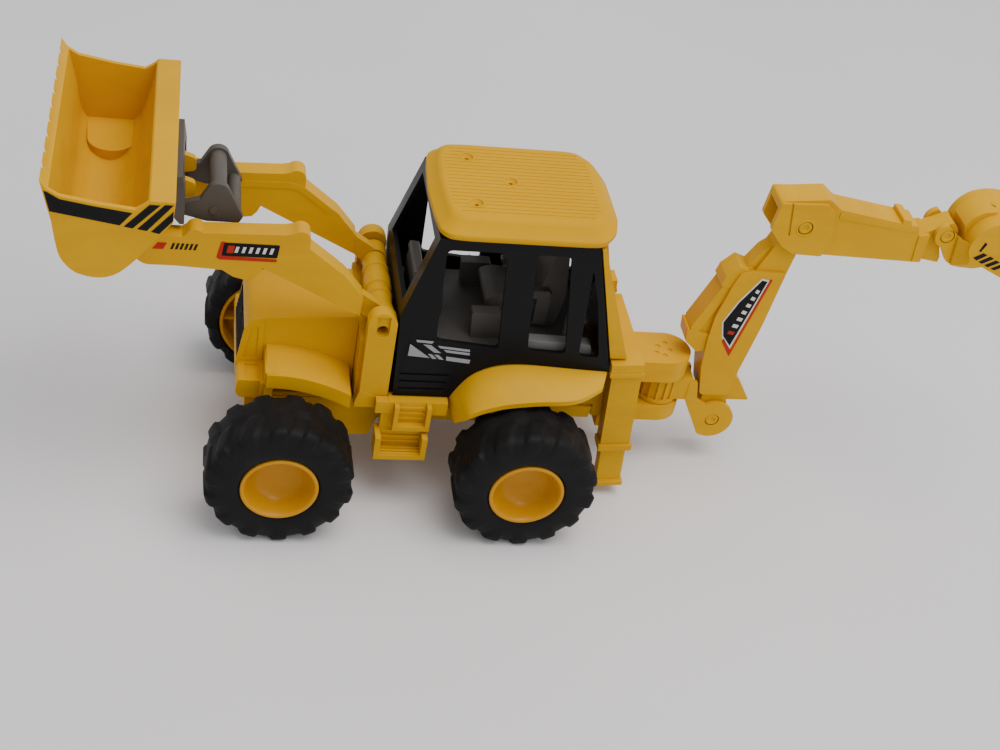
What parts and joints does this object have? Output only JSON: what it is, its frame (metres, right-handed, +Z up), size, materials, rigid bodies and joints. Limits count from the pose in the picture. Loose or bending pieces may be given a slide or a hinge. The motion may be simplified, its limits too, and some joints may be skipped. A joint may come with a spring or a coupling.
{
  "type": "toy backhoe loader",
  "caption": "Free-rolling toy backhoe loader: lifting front arms with a tipping bucket, black cab, sliding rear stabilisers and a swinging backhoe arm.",
  "frame": {"origin": "on the ground, midway between the front and rear ends and midway between the wheels", "axes": "+X towards the loader bucket, +Y to the machine's left, +Z up"},
  "size_m": [0.4212, 0.138, 0.1632],
  "materials": {
    "body_yellow": "moulded warm yellow plastic, soft semi-gloss",
    "arm_yellow": "moulded warm yellow plastic, soft semi-gloss, light wear on edges",
    "rim_yellow": "moulded bright yellow plastic, glossy",
    "tyre_rubber": "black hollow soft-plastic tyre, matt with dusty lugs",
    "cab_black": "moulded black plastic, semi-gloss",
    "trim_grey": "moulded dark warm grey plastic, matt",
    "pin_steel": "plain drawn wire, dull",
    "screw_steel": "zinc plated screw"
  },
  "bodies": {
    "tractor": {"chassis": "body_yellow", "chassis_screw_1": "screw_steel", "chassis_screw_2": "screw_steel", "chassis_screw_3": "screw_steel", "chassis_screw_4": "screw_steel", "hood": "body_yellow", "grille": "cab_black", "loader_mast": "body_yellow", "side_step_left": "body_yellow", "side_step_right": "body_yellow", "cab_shell": "cab_black", "cab_roof": "body_yellow", "cab_interior": "trim_grey", "driver_seat": "trim_grey", "rear_fender_left": "body_yellow", "rear_fender_right": "body_yellow", "rear_body": "body_yellow", "stabiliser_sleeve_left": "body_yellow", "stabiliser_sleeve_right": "body_yellow", "loader_pivot_pin": "pin_steel", "swing_pin": "pin_steel"},
    "front_wheels": {"front_axle": "pin_steel", "front_left_rim": "rim_yellow", "front_right_rim": "rim_yellow", "front_left_tyre": "tyre_rubber", "front_right_tyre": "tyre_rubber"},
    "rear_wheels": {"rear_axle": "pin_steel", "rear_left_rim": "rim_yellow", "rear_right_rim": "rim_yellow", "rear_left_tyre": "tyre_rubber", "rear_right_tyre": "tyre_rubber"},
    "loader": {"loader_arm_left": "arm_yellow", "loader_arm_right": "arm_yellow", "loader_cross_tube": "arm_yellow", "bucket_pivot_pin": "pin_steel"},
    "bucket": {"loader_bucket": "arm_yellow", "bucket_bracket": "trim_grey"},
    "left_leg": {"stabiliser_leg_left": "arm_yellow"},
    "right_leg": {"stabiliser_leg_right": "arm_yellow"},
    "swing": {"swing_post": "arm_yellow", "boom_pin": "arm_yellow"},
    "boom_arm": {"boom": "arm_yellow", "dipper_pin": "arm_yellow"},
    "dipper_arm": {"dipper": "arm_yellow", "scoop_pin": "arm_yellow"},
    "scoop": {"rear_bucket": "arm_yellow"}
  },
  "joints": [
    {"name": "front_wheel_roll", "type": "hinge", "parent": "tractor", "child": "front_wheels", "pos_m": [0.1174, 0, 0.0308], "axis": [0, 1, 0], "continuous": true},
    {"name": "rear_wheel_roll", "type": "hinge", "parent": "tractor", "child": "rear_wheels", "pos_m": [0.0139, 0, 0.0308], "axis": [0, 1, 0], "continuous": true},
    {"name": "loader_lift", "type": "hinge", "parent": "tractor", "child": "loader", "pos_m": [0.0784, 0, 0.0865], "axis": [0, -1, 0], "range_deg": [-42, 30]},
    {"name": "bucket_tip", "type": "hinge", "parent": "loader", "child": "bucket", "pos_m": [0.1719, 0, 0.117], "axis": [0, 1, 0], "range_deg": [-3, 95]},
    {"name": "left_leg_slide", "type": "slide", "parent": "tractor", "child": "left_leg", "axis": [-0.0732, 0, -0.9973], "range_m": [-0.014, 0.005]},
    {"name": "right_leg_slide", "type": "slide", "parent": "tractor", "child": "right_leg", "axis": [-0.0732, 0, -0.9973], "range_m": [-0.014, 0.005]},
    {"name": "swing_turn", "type": "hinge", "parent": "tractor", "child": "swing", "pos_m": [-0.0564, 0, 0.041], "axis": [0, 0, 1], "range_deg": [-60, 60]},
    {"name": "boom_lift", "type": "hinge", "parent": "swing", "child": "boom_arm", "pos_m": [-0.0849, 0, 0.0243], "axis": [0, -1, 0], "range_deg": [-2, 40]},
    {"name": "dipper_curl", "type": "hinge", "parent": "boom_arm", "child": "dipper_arm", "pos_m": [-0.0991, 0, 0.1332], "axis": [0, -1, 0], "range_deg": [-60, 50]},
    {"name": "scoop_curl", "type": "hinge", "parent": "dipper_arm", "child": "scoop", "pos_m": [-0.1647, 0, 0.1332], "axis": [0, -1, 0], "range_deg": [-60, 38]}
  ]
}
